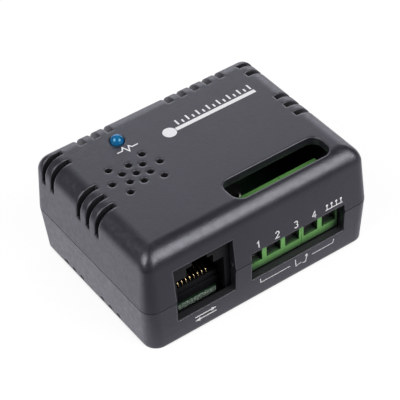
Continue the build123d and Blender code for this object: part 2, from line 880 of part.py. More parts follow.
# Leads of the lamp
with BuildPart() as led_leads:
    with BuildSketch(at(tail_end)):
        with Locations(*led_lead_spots):
            Rectangle(led_lead_width, led_lead_width)
    extrude(amount=led_seat - tail_end)
save(led_leads, "led_leads")

# Spacer tube between the board and the lamp
with BuildPart() as led_spacer:
    with BuildSketch(at(board_top)):
        with Locations((led_x, led_y)):
            Circle(led_spacer_radius)
        with Locations(*led_lead_spots):
            Circle(lead_hole_radius, mode=Mode.SUBTRACT)
    extrude(amount=led_seat - board_top)
save(led_spacer, "led_spacer")

# Humidity and temperature chip under the grille, with its round port
with BuildPart() as humidity_temperature_sensor:
    with BuildSketch(at(board_top)):
        with Locations((grille_x, grille_y)):
            Rectangle(chip_size, chip_size)
    extrude(amount=chip_height)
    with BuildSketch(at(board_top + chip_height)):
        with Locations((grille_x, grille_y)):
            Circle(chip_port_radius)
    extrude(amount=-chip_port_depth, mode=Mode.SUBTRACT)
save(humidity_temperature_sensor, "humidity_temperature_sensor")


def chip_body(spots, length, width, height):
    """Plain moulded chip bodies, a little above the board."""
    with BuildPart() as body:
        with BuildSketch(at(board_top + lead_standoff)):
            with Locations(*spots):
                Rectangle(length, width)
        extrude(amount=height)
    return body


# Microcontroller with leads on four sides
controller = chip_body(
    [(controller_x, controller_y)], controller_size, controller_size, controller_height
)
save(controller, "microcontroller")
with BuildPart() as microcontroller_leads:
    for lead_rows in (leads_across_y, leads_across_x):
        lead_rows(
            controller_x,
            controller_y,
            controller_side_lead_count,
            controller_lead_pitch,
            controller_lead_width,
            controller_size,
            controller_span,
            controller_height,
        )
save(microcontroller_leads, "microcontroller_leads")

# Line driver beside the jack
driver_chip_x = jack_right + driver_chip_gap + driver_chip_length / 2
driver_chip = chip_body(
    [(driver_chip_x, driver_chip_y)], driver_chip_length, driver_chip_width, driver_chip_height
)
save(driver_chip, "line_driver")
with BuildPart() as line_driver_leads:
    leads_across_y(
        driver_chip_x,
        driver_chip_y,
        driver_chip_side_lead_count,
        driver_chip_lead_pitch,
        driver_chip_lead_width,
        driver_chip_width,
        driver_chip_span,
        driver_chip_height,
    )
save(line_driver_leads, "line_driver_leads")

# Input isolators behind the terminals
isolator_y = terminal_rear + isolator_gap + isolator_span / 2
isolator_spots = [(x, isolator_y) for x in way_x[terminal_ways - isolator_count :]]
isolator_length = terminal_pitch - isolator_side_gap
isolator_lead_pitch = isolator_length - 2 * isolator_lead_inset
isolators = chip_body(isolator_spots, isolator_length, isolator_width, isolator_height)
save(isolators, "input_isolators")
with BuildPart() as isolator_leads:
    for x, y in isolator_spots:
        leads_across_y(
            x,
            y,
            isolator_side_lead_count,
            isolator_lead_pitch,
            isolator_lead_width,
            isolator_width,
            isolator_span,
            isolator_height,
        )
save(isolator_leads, "isolator_leads")

# Chip resistors in a row behind the isolators
resistor_y = isolator_y + isolator_span / 2 + resistor_row_gap + resistor_length / 2
resistor_left = isolator_spots[0][0] - resistor_row_shift
resistor_pitch = terminal_pitch - resistor_pitch_gap
with BuildPart() as chip_resistors:
    with BuildSketch(at(board_top)):
        for i in range(resistor_count):
            with Locations((resistor_left + i * resistor_pitch, resistor_y)):
                Rectangle(resistor_width, resistor_length)
    extrude(amount=resistor_height)
save(chip_resistors, "chip_resistors")

# Voltage regulator with its tab, behind the resistors
regulator_y = resistor_y + resistor_length / 2 + regulator_gap + regulator_span / 2
regulator = chip_body(
    [(regulator_x, regulator_y)], regulator_length, regulator_width, regulator_height
)
save(regulator, "voltage_regulator")
with BuildPart() as regulator_legs:
    legs = [(offset, regulator_lead_width, -1) for offset in pin_row(regulator_lead_count, regulator_lead_pitch)]
    legs.append((0, regulator_tab_width, 1))
    for offset, leg_width, side in legs:
        with BuildSketch(Plane.YZ.offset(regulator_x + offset)):
            with BuildLine():
                section = bent_lead(
                    regulator_width / 2, regulator_span / 2, regulator_height / 2, side
                )
                Polyline([(regulator_y + across, rise) for across, rise in section], close=True)
            make_face()
        extrude(amount=leg_width / 2, both=True)
save(regulator_legs, "regulator_leads")

# Crystal can behind the microcontroller
crystal_y = controller_y + controller_span / 2 + crystal_gap + crystal_width / 2
with BuildPart() as crystal_can:
    with BuildSketch(at(board_top)):
        with Locations((controller_x, crystal_y)):
            RectangleRounded(crystal_length, crystal_width, crystal_corner)
    extrude(amount=crystal_height)
save(crystal_can, "crystal_can")

# Electrolytic capacitor on its moulded base, beside the board's screw
can_x = post_x - can_post_gap
with BuildPart() as capacitor_base:
    with BuildSketch(at(board_top)):
        with Locations((can_x, can_y)):
            base = Rectangle(can_base_size, can_base_size)
        chamfer(base.vertices().group_by(Axis.Y)[0], can_base_chamfer)
    extrude(amount=can_base_height)
save(capacitor_base, "capacitor_base")
with BuildPart() as electrolytic_capacitor:
    with BuildSketch(at(board_top + can_base_height)):
        with Locations((can_x, can_y)):
            Circle(can_radius)
    extrude(amount=can_height)
    fillet(electrolytic_capacitor.faces().sort_by(Axis.Z)[-1].edges(), can_edge_radius)
save(electrolytic_capacitor, "electrolytic_capacitor")

# Chip capacitors in a column beside the microcontroller
capacitor_x = controller_x - controller_span / 2 - capacitor_row_gap - capacitor_length / 2
with BuildPart() as chip_capacitors:
    with BuildSketch(at(board_top)):
        for i in range(capacitor_count):
            with Locations((capacitor_x, capacitor_row_front_y + i * capacitor_pitch)):
                Rectangle(capacitor_length, capacitor_width)
    extrude(amount=capacitor_height)
save(chip_capacitors, "chip_capacitors")
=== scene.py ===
import json
import math

import bmesh
import bpy
from mathutils import Matrix, Vector


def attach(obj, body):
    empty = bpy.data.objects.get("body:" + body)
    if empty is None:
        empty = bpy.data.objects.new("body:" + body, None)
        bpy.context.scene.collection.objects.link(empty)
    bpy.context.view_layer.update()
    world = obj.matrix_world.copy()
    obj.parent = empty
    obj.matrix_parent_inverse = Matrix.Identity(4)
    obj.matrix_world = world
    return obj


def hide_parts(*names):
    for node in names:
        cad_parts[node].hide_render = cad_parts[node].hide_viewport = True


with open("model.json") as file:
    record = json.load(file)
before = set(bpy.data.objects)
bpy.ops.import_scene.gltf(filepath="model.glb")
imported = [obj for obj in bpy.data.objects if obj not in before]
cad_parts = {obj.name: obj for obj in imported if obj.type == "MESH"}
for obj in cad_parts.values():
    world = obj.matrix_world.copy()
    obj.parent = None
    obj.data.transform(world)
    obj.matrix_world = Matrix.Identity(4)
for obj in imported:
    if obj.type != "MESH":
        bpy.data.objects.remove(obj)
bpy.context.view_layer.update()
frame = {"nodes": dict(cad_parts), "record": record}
nodes = frame["nodes"]

MM = 0.001

# Case form, as in the solids: the front wall leans back from the seam both ways
CASE_WIDTH = 58.66 * MM
CASE_DEPTH = 44.9 * MM
CASE_HEIGHT = 26.0 * MM
SEAM_HEIGHT = 11.26 * MM
UPPER_DRAFT = math.radians(4.5)
LOWER_DRAFT = math.radians(3.3)
CORNER_RADIUS = 3.1 * MM

# Vents in the base's edge: a height just over them, and a Y that they all stay within
BASE_VENT_TOP = 1.35 * MM
VENTS_END = 18.0 * MM

# Radius that the case's edges shade with, that of the seam, and where one turns into the other
CASE_EDGE = 0.65 * MM
SEAM_EDGE = 0.02 * MM
SEAM_BAND = (0.5 * MM, 0.7 * MM)

# Parts of a face's normal past which it looks up, down or sideways
LOOKS_UP = 0.5
LOOKS_DOWN = -0.5
LOOKS_SIDEWAYS = 0.3

# Cosines between a rounded and a plain normal: where an edge is whole, and where it ends
EDGE_WHOLE = 0.8
EDGE_END = 0.96

# What most of a cloudy noise lies between
NOISE_LOW = 0.3
NOISE_HIGH = 0.7

# Specular level of plastic out in the open, lowered in hollows as painted shade
OPEN_SHINE = 0.5

# Rays spent on rounded edges, on hollows and on the contact shadow
EDGE_SAMPLES = 12
HOLLOW_SAMPLES = 8
CONTACT_SAMPLES = 12

# Printed ink, and the air that keeps it off the case
INK_THICKNESS = 0.02 * MM
INK_LIFT = 0.005 * MM

# Widths of the printed lines, in millimetres, and the least cosine of a mitre
SIGN_LINE = 0.2
SIGN_PEN = 0.24
SIGN_BOLD = 0.3
MITRE_LIMIT = 0.4

# The thermometer's scale on the roof: places in millimetres, then sizes
TICK_FIRST = 1.6
TICK_LAST = 21.1
TICK_FOOT = 9.45
TICK_COUNT = 15
TICK_WIDTH = 0.42 * MM
TICK_LONG = 1.7 * MM
TICK_SHORT = 1.0 * MM

# Contact wires of the jack, as the solids place them
BOARD_TOP = 5.75 * MM
JACK_MIDDLE = -14.55 * MM
WIRE_COUNT = 8
WIRE_PITCH = 1.02 * MM
WIRE_RADIUS = 0.14 * MM
WIRE_SIDES = 12
WIRE_BEND = 1.0 * MM
WIRE_BEND_STEPS = 8
WIRE_RUN = 0.95 * MM
WIRE_KNEE = 4.1 * MM
WIRE_KNEE_Y = -17.0 * MM
WIRE_SLOPE = math.radians(27.0)
WIRE_SLOPE_LENGTH = 6.2 * MM
WIRE_TAIL_Y = -9.25 * MM
WIRE_TAIL_END = 3.05 * MM
WIRE_STAGGER = 2.0 * MM

# Camera, from the fit to the photograph
CAMERA_PLACE = Vector((-143.388, -221.795, 253.489)) * MM
CAMERA_BACK = Vector((-0.39950, -0.61949, 0.67575))
CAMERA_RIGHT = Vector((0.81408, -0.57866, -0.04920))
CAMERA_LENS = 146.78
CAMERA_SENSOR = 36.0
CAMERA_CLIP = 10.0 * MM

# Floor: half its side, its grey as a lit surface, and its white and faint grey to the eye
FLOOR_HALF = 3.0
FLOOR_GREY = 0.8
FLOOR_WHITE = 0.9
FLOOR_FAINT = 0.14

# Contact shadow: how far it looks for the case, and the openness where it ends and starts
CONTACT_REACH = 2.5 * MM
CONTACT_BAND = (0.3, 0.5)

# Painted shadow on the floor under the case: where it fades, from the base's outline outwards
UNDER_BAND = (-0.1 * MM, 0.05 * MM)

# The floor as reflected: colour, brightness before the case from near to far, and where that is;
# the dimming before the case is a painted shadow
FLOOR_MIRRORED = (0.94, 0.93, 1.0)
FLOOR_NEAR = 0.6
FLOOR_FAR = 0.38
FLOOR_BAND = (5.0 * MM, 50.0 * MM)
FLOOR_TOWARD = (-0.54, -0.84, 0.0)
FRONT_BAND = (-4.0 * MM, 8.0 * MM)

# Painted pool of light on the floor, seen in reflections: its middle, where its edge fades, and
# the floor's share beyond it
LIGHT_POOL_MIDDLE = (0.08, 0.06, 0.0)
LIGHT_POOL_REACH = (0.14, 0.21)
LIGHT_POOL_BEYOND = 0.2

# Room light: direction, cosines where a patch is full and where it ends, strength
ROOM_COLOUR = (0.94, 0.94, 1.0)
ROOM_DARK = 0.07
ROOM_LIGHT = [
    ((0.38, 0.85, 0.36), 0.995, 0.85, 1.65),
    ((-0.70, 0.60, 0.35), 0.95, 0.3, 0.07),
    ((0.80, 0.58, 0.06), 0.98, 0.87, 1.5),
]


# Node building blocks


def feed(tree, made, given):
    """Each input of a node, by name or number, linked to a socket or set to a plain value."""
    for key, value in given.items():
        if hasattr(value, "links"):
            tree.links.new(value, made.inputs[key])
        else:
            made.inputs[key].default_value = value


def node(tree, kind, given=None, **settings):
    """A node of a shader or a geometry tree, with its settings made and its inputs fed."""
    made = tree.nodes.new(kind)
    for key, value in settings.items():
        setattr(made, key, value)
    feed(tree, made, given or {})
    return made


def maths(tree, operation, *values):
    """What a Math node makes of sockets and numbers."""
    made = node(tree, "ShaderNodeMath", dict(enumerate(values)), operation=operation)
    return made.outputs["Value"]


def vector_maths(tree, operation, *values):
    """What a Vector Math node makes of sockets and triples: a Vector or a Value."""
    made = node(tree, "ShaderNodeVectorMath", dict(enumerate(values)), operation=operation)
    return made.outputs


def axes_of(tree, vector):
    """The X, Y and Z of a vector."""
    return node(tree, "ShaderNodeSeparateXYZ", {"Vector": vector}).outputs


def opaque(colour):
    """A colour as a socket takes it."""
    return (*colour, 1.0)


def grey(level):
    """A grey as a socket takes it."""
    return opaque((level, level, level))


def object_place(tree):
    """Coordinates in metres, fixed to the piece."""
    return node(tree, "ShaderNodeTexCoord").outputs["Object"]


def face_normals(tree):
    """The normals of a face: shaded as Normal, flat as True Normal."""
    return node(tree, "ShaderNodeNewGeometry").outputs


def noise(tree, place, scale, detail=2.0, rough=0.5):
    """Cloudy noise; scale is in cycles a metre."""
    made = node(tree, "ShaderNodeTexNoise", {
        "Vector": place, "Scale": scale, "Detail": detail, "Roughness": rough,
    })
    return made.outputs["Fac"]


def spread(tree, value, low, high, from_low=NOISE_LOW, from_high=NOISE_HIGH):
    """A value brought into a range."""
    made = node(tree, "ShaderNodeMapRange", {
        "Value": value, "From Min": from_low, "From Max": from_high, "To Min": low, "To Max": high,
    })
    return made.outputs["Result"]


def mix_colours(tree, share, first, second):
    """Two colours mixed by a share; each is a socket or a plain colour."""
    made = node(tree, "ShaderNodeMix", {"Factor": share}, data_type="RGBA")
    colours = [i for i, socket in enumerate(made.inputs) if socket.type == "RGBA"]
    for i, colour in zip(colours, (first, second)):
        feed(tree, made, {i: colour if hasattr(colour, "links") else opaque(colour)})
    return next(socket for socket in made.outputs if socket.type == "RGBA")


def mix_shaders(tree, share, first, second):
    """Two shaders mixed by a share."""
    return node(tree, "ShaderNodeMixShader", {
        "Fac": share, 1: first.outputs[0], 2: second.outputs[0],
    })


def bump(tree, height, depth, strength, under=None):
    """A bumped normal, over another where one is given; depth is in metres."""
    made = node(tree, "ShaderNodeBump", {
        "Height": height, "Distance": depth, "Strength": strength,
    })
    if under is not None:
        feed(tree, made, {"Normal": under})
    return made.outputs["Normal"]


def soft_edge(tree, radius):
    """Normals rounded over the sharp edges, as moulded edges are."""
    made = node(tree, "ShaderNodeBevel", {"Radius": radius}, samples=EDGE_SAMPLES)
    return made.outputs["Normal"]


def edge_but_at_seam(tree, edge):
    """An edge radius that is next to nothing where the covers meet."""
    height = axes_of(tree, object_place(tree))["Z"]
    distance = maths(tree, "ABSOLUTE", maths(tree, "SUBTRACT", height, SEAM_HEIGHT))
    return spread(tree, distance, SEAM_EDGE, edge, *SEAM_BAND)


def edge_share(tree, rounded):
    """1 on the sharp edges of a piece and 0 on its faces."""
    bend = vector_maths(tree, "DOT_PRODUCT", rounded, face_normals(tree)["Normal"])["Value"]
    return spread(tree, bend, 1.0, 0.0, EDGE_WHOLE, EDGE_END)


def openness(tree, reach, alone):
    """1 on open faces and less in hollows: the piece's own, or those between pieces."""
    made = node(tree, "ShaderNodeAmbientOcclusion", {"Distance": reach},
                samples=HOLLOW_SAMPLES, only_local=alone)
    return made.outputs["AO"]


def base_reach(tree):
    """In plan, how far a point lies beyond the middles of the base's rounded corners."""
    place = axes_of(tree, object_place(tree))
    beyond = {}
    for axis, size in (("X", CASE_WIDTH), ("Y", CASE_DEPTH)):
        middle = size / 2 - SEAM_HEIGHT * math.tan(LOWER_DRAFT) - CORNER_RADIUS
        past = maths(tree, "SUBTRACT", maths(tree, "ABSOLUTE", place[axis]), middle)
        beyond[axis] = maths(tree, "MAXIMUM", past, 0.0)
    reach = node(tree, "ShaderNodeCombineXYZ", beyond).outputs["Vector"]
    return vector_maths(tree, "LENGTH", reach)["Value"]


def outer_share(tree, share):
    """The share, but 0 where a face looks up below the seam or lies in a base vent: there the case
    takes its painted shade whole and no painted edge highlight.
    """
    facing = axes_of(tree, face_normals(tree)["True Normal"])
    place = axes_of(tree, object_place(tree))
    off_ledges = [
        maths(tree, "LESS_THAN", facing["Z"], LOOKS_UP),
        maths(tree, "GREATER_THAN", place["Z"], SEAM_HEIGHT),
    ]
    off_vents = [
        maths(tree, "LESS_THAN", facing["Z"], LOOKS_DOWN),
        maths(tree, "GREATER_THAN", place["Z"], BASE_VENT_TOP),
        maths(tree, "GREATER_THAN", maths(tree, "ABSOLUTE", facing["X"]), LOOKS_SIDEWAYS),
        maths(tree, "GREATER_THAN", maths(tree, "ABSOLUTE", place["Y"]), VENTS_END),
    ]
    for tests in (off_ledges, off_vents):
        outer = tests[0]
        for test in tests[1:]:
            outer = maths(tree, "MAXIMUM", outer, test)
        share = maths(tree, "MULTIPLY", outer, share)
    return share


# Materials


def insides(material):
    """The node tree of a material and its Principled surface."""
    tree = material.node_tree
    return tree, tree.nodes["Principled BSDF"]


def new_material(name):
    """A material with a plain Principled surface, its tree and that surface."""
    material = bpy.data.materials.new(name)
    material.use_nodes = True
    return material, *insides(material)


def shade_hollows(material, open_share, painted_shade_colour, shine):
    """Paints shade into a plastic: a dark colour and less shine where little light gets in."""
    tree, surface = insides(material)
    lit = surface.inputs["Base Color"].links[0].from_socket
    feed(tree, surface, {
        "Base Color": mix_colours(tree, open_share, painted_shade_colour, lit),
        "Specular IOR Level": spread(tree, open_share, shine, OPEN_SHINE, 0.0, 1.0),
    })


def moulded_plastic(name, dark, light, roughness, grain_scale, grain_depth, edge, seamed=False):
    """Moulded plastic with a fine spark-eroded grain and faint flow clouds.

    A seamed one stays sharp where the covers meet.
    """
    material, tree, surface = new_material(name)
    place = object_place(tree)
    clouds = noise(tree, place, scale=70.0, detail=3.0)
    grain = noise(tree, place, grain_scale, rough=0.6)
    coarse = noise(tree, place, grain_scale * 0.35)
    base = mix_colours(tree, spread(tree, clouds, 0.0, 1.0), dark, light)
    rounded = soft_edge(tree, edge_but_at_seam(tree, edge) if seamed else edge)
    fine = bump(tree, grain, grain_depth, strength=0.6, under=rounded)
    feed(tree, surface, {
        "Base Color": mix_colours(tree, spread(tree, grain, 0.0, 0.35), base, light),
        "Roughness": spread(tree, coarse, roughness - 0.05, roughness + 0.07),
        "Normal": bump(tree, coarse, grain_depth, strength=0.3, under=fine),
    })
    return material


def case_plastic():
    """Near-black plastic that shines grey with a violet cast, with a painted highlight of paler
    grey on its sharp outer edges and painted shade in its hollows, on ledges below the seam and in
    the base vents.
    """
    material = moulded_plastic(
        "case_plastic", dark=(0.0125, 0.0122, 0.0175), light=(0.0182, 0.0176, 0.025),
        roughness=0.34, grain_scale=2800.0, grain_depth=0.04 * MM, edge=CASE_EDGE, seamed=True,
    )
    tree, surface = insides(material)
    rounded = soft_edge(tree, edge_but_at_seam(tree, CASE_EDGE))
    # Painted highlight: the sharp outer edges are mixed towards a paler grey and spared the
    # painted shade.
    painted_edge_highlight = outer_share(tree, edge_share(tree, rounded))
    # Painted shade: hollows, ledges below the seam and the base vents go dark and dull.
    room = openness(tree, reach=8.0 * MM, alone=True)
    open_share = spread(tree, room, 0.0, 1.0, from_low=0.4, from_high=0.85)
    lit_share = maths(tree, "MAXIMUM", outer_share(tree, open_share), painted_edge_highlight)
    shade_hollows(material, lit_share, painted_shade_colour=(0.03, 0.03, 0.033), shine=0.2)
    plain = surface.inputs["Base Color"].links[0].from_socket
    feed(tree, surface, {
        "IOR": 1.8,
        "Specular Tint": opaque((0.92, 0.91, 1.0)),
        "Base Color": mix_colours(tree, painted_edge_highlight, plain, (0.095, 0.093, 0.103)),
    })
    return material


def jack_plastic():
    """Black plastic, duller than the case, with painted shade in its hollows and where other
    pieces cover it, which darkens even its open faces in part.
    """
    material = moulded_plastic(
        "jack_plastic", dark=(0.006, 0.006, 0.0075), light=(0.01, 0.01, 0.0125),
        roughness=0.5, grain_scale=5000.0, grain_depth=0.02 * MM, edge=0.08 * MM,
    )
    tree = material.node_tree
    # Painted shade: the openness among all pieces darkens and dulls the plastic.
    room = openness(tree, reach=4.0 * MM, alone=False)
    open_share = spread(tree, room, 0.0, 0.55, from_low=0.3, from_high=0.9)
    shade_hollows(material, open_share, painted_shade_colour=(0.003, 0.003, 0.004), shine=0.1)
    return material


def terminal_plastic():
    """Bright green plastic, with painted shade deep in the wire windows and where the case covers
    it.
    """
    material = moulded_plastic(
        "terminal_plastic", dark=(0.15, 0.41, 0.10), light=(0.19, 0.47, 0.13),
        roughness=0.42, grain_scale=2600.0, grain_depth=0.03 * MM, edge=0.12 * MM,
    )
    tree = material.node_tree
    # Painted shade: the openness among all pieces darkens and dulls the plastic.
    room = openness(tree, reach=4.2 * MM, alone=False)
    open_share = spread(tree, room, 0.0, 1.0, from_low=0.5, from_high=0.96)
    shade_hollows(material, open_share, painted_shade_colour=(0.03, 0.05, 0.032), shine=0.2)
    return material


def spacer_plastic():
    """Black plastic of the spacer under the lamp."""
    return moulded_plastic(
        "spacer_plastic", dark=(0.02, 0.02, 0.02), light=(0.03, 0.03, 0.03),
        roughness=0.5, grain_scale=4000.0, grain_depth=0.03 * MM, edge=0.1 * MM,
    )


def chip_plastic():
    """Dull black resin that chips are cast in."""
    return moulded_plastic(
        "chip_plastic", dark=(0.018, 0.018, 0.019), light=(0.028, 0.028, 0.029),
        roughness=0.6, grain_scale=6000.0, grain_depth=0.03 * MM, edge=0.08 * MM,
    )


def isolator_plastic():
    """Off-white resin of the input isolators."""
    return moulded_plastic(
        "isolator_plastic", dark=(0.62, 0.61, 0.57), light=(0.7, 0.69, 0.65),
        roughness=0.55, grain_scale=5000.0, grain_depth=0.02 * MM, edge=0.08 * MM,
    )


def fired_ceramic(name, dark, light):
    """Fine hard ceramic of the small board parts."""
    return moulded_plastic(
        name, dark, light,
        roughness=0.35, grain_scale=7000.0, grain_depth=0.01 * MM, edge=0.05 * MM,
    )


def plated_metal(name, dark, light, roughness, brush_scale):
    """Plated metal with fine lay marks and cloudy dullness."""
    material, tree, surface = new_material(name)
    place = object_place(tree)
    stretched = node(tree, "ShaderNodeMapping", {"Vector": place, "Scale": (1.0, 0.12, 1.0)})
    lay = noise(tree, stretched.outputs["Vector"], brush_scale, detail=3.0)
    clouds = noise(tree, place, scale=400.0)
    rounded = soft_edge(tree, radius=0.08 * MM)
    feed(tree, surface, {
        "Metallic": 1.0,
        "Base Color": mix_colours(tree, spread(tree, clouds, 0.0, 1.0), dark, light),
        "Roughness": spread(tree, lay, roughness - 0.06, roughness + 0.1),
        "Normal": bump(tree, lay, depth=0.01 * MM, strength=0.5, under=rounded),
    })
    return material


def board_laminate():
    """Solder resist on the faces, pale torn glass fibre on the routed edges."""
    material, tree, surface = new_material("board_laminate")
    place = object_place(tree)
    clouds = noise(tree, place, scale=150.0, detail=3.0)
    fibres = noise(tree, place, scale=2600.0, detail=4.0, rough=0.75)
    cloud_share = spread(tree, clouds, 0.0, 1.0)
    fibre_share = spread(tree, fibres, 0.0, 1.0, from_low=0.46, from_high=0.58)
    resist = mix_colours(tree, cloud_share, (0.006, 0.03, 0.012), (0.01, 0.045, 0.018))
    torn = mix_colours(tree, fibre_share, (0.02, 0.06, 0.03), (0.52, 0.6, 0.52))
    upright = axes_of(tree, face_normals(tree)["True Normal"])["Z"]
    flat = maths(tree, "GREATER_THAN", maths(tree, "ABSOLUTE", upright), LOOKS_UP)
    feed(tree, surface, {
        "Base Color": mix_colours(tree, flat, torn, resist),
        "Roughness": spread(tree, clouds, 0.3, 0.45),
        "Normal": bump(tree, fibres, depth=0.12 * MM, strength=0.7),
    })
    return material


def lamp_lens():
    """Tinted clear blue lens."""
    material, tree, surface = new_material("lamp_lens")
    place = object_place(tree)
    clouds = spread(tree, noise(tree, place, scale=900.0), 0.0, 1.0)
    ripples = noise(tree, place, scale=2500.0)
    feed(tree, surface, {
        "Base Color": mix_colours(tree, clouds, (0.005, 0.115, 0.29), (0.008, 0.165, 0.38)),
        "Roughness": 0.09,
        "IOR": 1.85,
        "Specular Tint": opaque((0.4, 0.84, 1.0)),
        "Subsurface Weight": 0.35,
        "Subsurface Radius": (0.4 * MM, 0.9 * MM, 1.6 * MM),
        "Subsurface Scale": 1.0,
        "Normal": bump(tree, ripples, depth=0.004 * MM, strength=0.3),
    })
    return material


def sign_ink():
    """Screen-printed white ink, a little uneven."""
    material, tree, surface = new_material("sign_ink")
    cover = noise(tree, object_place(tree), scale=3500.0, detail=3.0)
    share = spread(tree, cover, 0.0, 1.0)
    feed(tree, surface, {
        "Base Color": mix_colours(tree, share, (0.78, 0.78, 0.79), (0.9, 0.9, 0.91)),
        "Roughness": 0.55,
        "Normal": bump(tree, cover, depth=0.02 * MM, strength=0.5),
    })
    return material


MATERIALS = {
    "case_plastic": case_plastic(),
    "screw_steel": plated_metal(
        "screw_steel", dark=(0.45, 0.45, 0.44), light=(0.6, 0.6, 0.58),
        roughness=0.34, brush_scale=5000.0,
    ),
    "board_laminate": board_laminate(),
    "jack_plastic": jack_plastic(),
    "contact_gold": plated_metal(
        "contact_gold", dark=(0.74, 0.55, 0.27), light=(0.88, 0.7, 0.4),
        roughness=0.13, brush_scale=6000.0,
    ),
    "terminal_plastic": terminal_plastic(),
    # Painted shade: the clamps' plated metal takes a dark colour, as they sit in shade in the wire
    # windows.
    "clamp_metal": plated_metal(
        "clamp_metal", dark=(0.09, 0.09, 0.09), light=(0.14, 0.14, 0.14),
        roughness=0.45, brush_scale=4000.0,
    ),
    "lamp_lens": lamp_lens(),
    "lead_metal": plated_metal(
        "lead_metal", dark=(0.6, 0.6, 0.59), light=(0.74, 0.74, 0.72),
        roughness=0.3, brush_scale=5000.0,
    ),
    "spacer_plastic": spacer_plastic(),
    "chip_plastic": chip_plastic(),
    "isolator_plastic": isolator_plastic(),
    "can_metal": plated_metal(
        "can_metal", dark=(0.66, 0.66, 0.67), light=(0.78, 0.78, 0.79),
        roughness=0.3, brush_scale=3000.0,
    ),
    "resistor_ceramic": fired_ceramic(
        "resistor_ceramic", dark=(0.02, 0.02, 0.022), light=(0.035, 0.035, 0.038)
    ),
    "capacitor_ceramic": fired_ceramic(
        "capacitor_ceramic", dark=(0.36, 0.26, 0.16), light=(0.45, 0.33, 0.21)
    ),
}
INK = sign_ink()


def dress_nodes():
    """Every carried-over node takes the material of its slot."""
    for part in frame["record"]["subparts"]:
        piece = nodes[part["node"]]
        piece.data.materials.clear()
        piece.data.materials.append(MATERIALS[part["material_slot"]])


# Places on the case


def front_y(z):
    """Where the front wall is at a height."""
    if z >= SEAM_HEIGHT:
        return -CASE_DEPTH / 2 + (z - SEAM_HEIGHT) * math.tan(UPPER_DRAFT)
    return -CASE_DEPTH / 2 + (SEAM_HEIGHT - z) * math.tan(LOWER_DRAFT)


def on_roof(across, along, lift):
    """A point over the roof, from X and Y in millimetres."""
    return Vector((across * MM, along * MM, CASE_HEIGHT + lift))


def on_front(across, up, lift):
    """A point before the front wall, from X and Z in millimetres."""
    z = up * MM
    return Vector((across * MM, front_y(z) - lift, z))


def place_piece(name, data, material):
    """A mesh in one material as an object that rides on the case."""
    data.materials.clear()
    data.materials.append(material)
    piece = bpy.data.objects.new(name, data)
    bpy.context.scene.collection.objects.link(piece)
    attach(piece, "root")
    return piece


# Shapes grown from a rule


def rule_tree(name, sizes):
    """An empty geometry tree with a named input for each size."""
    tree = bpy.data.node_groups.new(name, "GeometryNodeTree")
    for label, kind in sizes:
        tree.interface.new_socket(label, in_out="INPUT", socket_type="NodeSocket" + kind)
    tree.interface.new_socket("Geometry", in_out="OUTPUT", socket_type="NodeSocketGeometry")
    return tree, node(tree, "NodeGroupInput").outputs


def close_tree(tree, geometry, material):
    """Real geometry in one material at the tree's end."""
    real = node(tree, "GeometryNodeRealizeInstances", {"Geometry": geometry})
    dressed = node(tree, "GeometryNodeSetMaterial", {
        "Geometry": real.outputs["Geometry"], "Material": material,
    })
    node(tree, "NodeGroupOutput", {"Geometry": dressed.outputs["Geometry"]})


def grown_mesh(tree, sizes):
    """What a geometry tree makes from these sizes, as a plain mesh."""
    carrier = bpy.data.objects.new(tree.name, bpy.data.meshes.new(tree.name))
    bpy.context.scene.collection.objects.link(carrier)
    grower = carrier.modifiers.new("rule", "NODES")
    grower.node_group = tree
    for socket in tree.interface.items_tree:
        if socket.in_out == "INPUT":
            grower[socket.identifier] = sizes[socket.name]
    grown = carrier.evaluated_get(bpy.context.evaluated_depsgraph_get())
    data = bpy.data.meshes.new_from_object(grown)
    carrier.modifiers.remove(grower)
    bpy.data.objects.remove(carrier)
    return data


def bent_wire(tree, corners, bend, radius):
    """A round wire through the corners, with every bend rounded."""
    line = node(tree, "GeometryNodeMeshLine", {"Count": len(corners)}, mode="OFFSET")
    shaped = line.outputs["Mesh"]
    for i, corner in enumerate(corners):
        order = node(tree, "GeometryNodeInputIndex").outputs["Index"]
        same = node(tree, "FunctionNodeCompare", data_type="INT", operation="EQUAL")
        whole = [j for j, socket in enumerate(same.inputs) if socket.type == "INT"]
        feed(tree, same, {whole[0]: order, whole[1]: i})
        moved = node(tree, "GeometryNodeSetPosition", {
            "Geometry": shaped, "Selection": same.outputs["Result"], "Position": corner,
        })
        shaped = moved.outputs["Geometry"]
    curve = node(tree, "GeometryNodeMeshToCurve", {"Mesh": shaped})
    rounded = node(tree, "GeometryNodeFilletCurve", mode="POLY")
    feed(tree, rounded, {
        "Curve": curve.outputs["Curve"],
        "Count": WIRE_BEND_STEPS,
        "Limit Radius": True,
        "Radius": bend,
    })
    ring = node(tree, "GeometryNodeCurvePrimitiveCircle", {
        "Resolution": WIRE_SIDES, "Radius": radius,
    })
    wire = node(tree, "GeometryNodeCurveToMesh", {
        "Curve": rounded.outputs["Curve"],
        "Profile Curve": ring.outputs["Curve"],
        "Fill Caps": True,
    })
    return wire.outputs["Mesh"]


def repeated(tree, shapes, count, start, step):
    """The shapes in turn along a row."""
    row = node(tree, "GeometryNodeMeshLine", mode="OFFSET")
    feed(tree, row, {"Count": count, "Start Location": start, "Offset": step})
    stock = node(tree, "GeometryNodeGeometryToInstance")
    # Linked last to first, so that the first shape starts the row
    for shape in reversed(shapes):
        feed(tree, stock, {"Geometry": shape})
    order = node(tree, "GeometryNodeInputIndex").outputs["Index"]
    placed = node(tree, "GeometryNodeInstanceOnPoints", {
        "Points": row.outputs["Mesh"],
        "Instance": stock.outputs["Instances"],
        "Pick Instance": True,
        "Instance Index": maths(tree, "MODULO", order, len(shapes)),
    })
    return placed.outputs["Instances"]


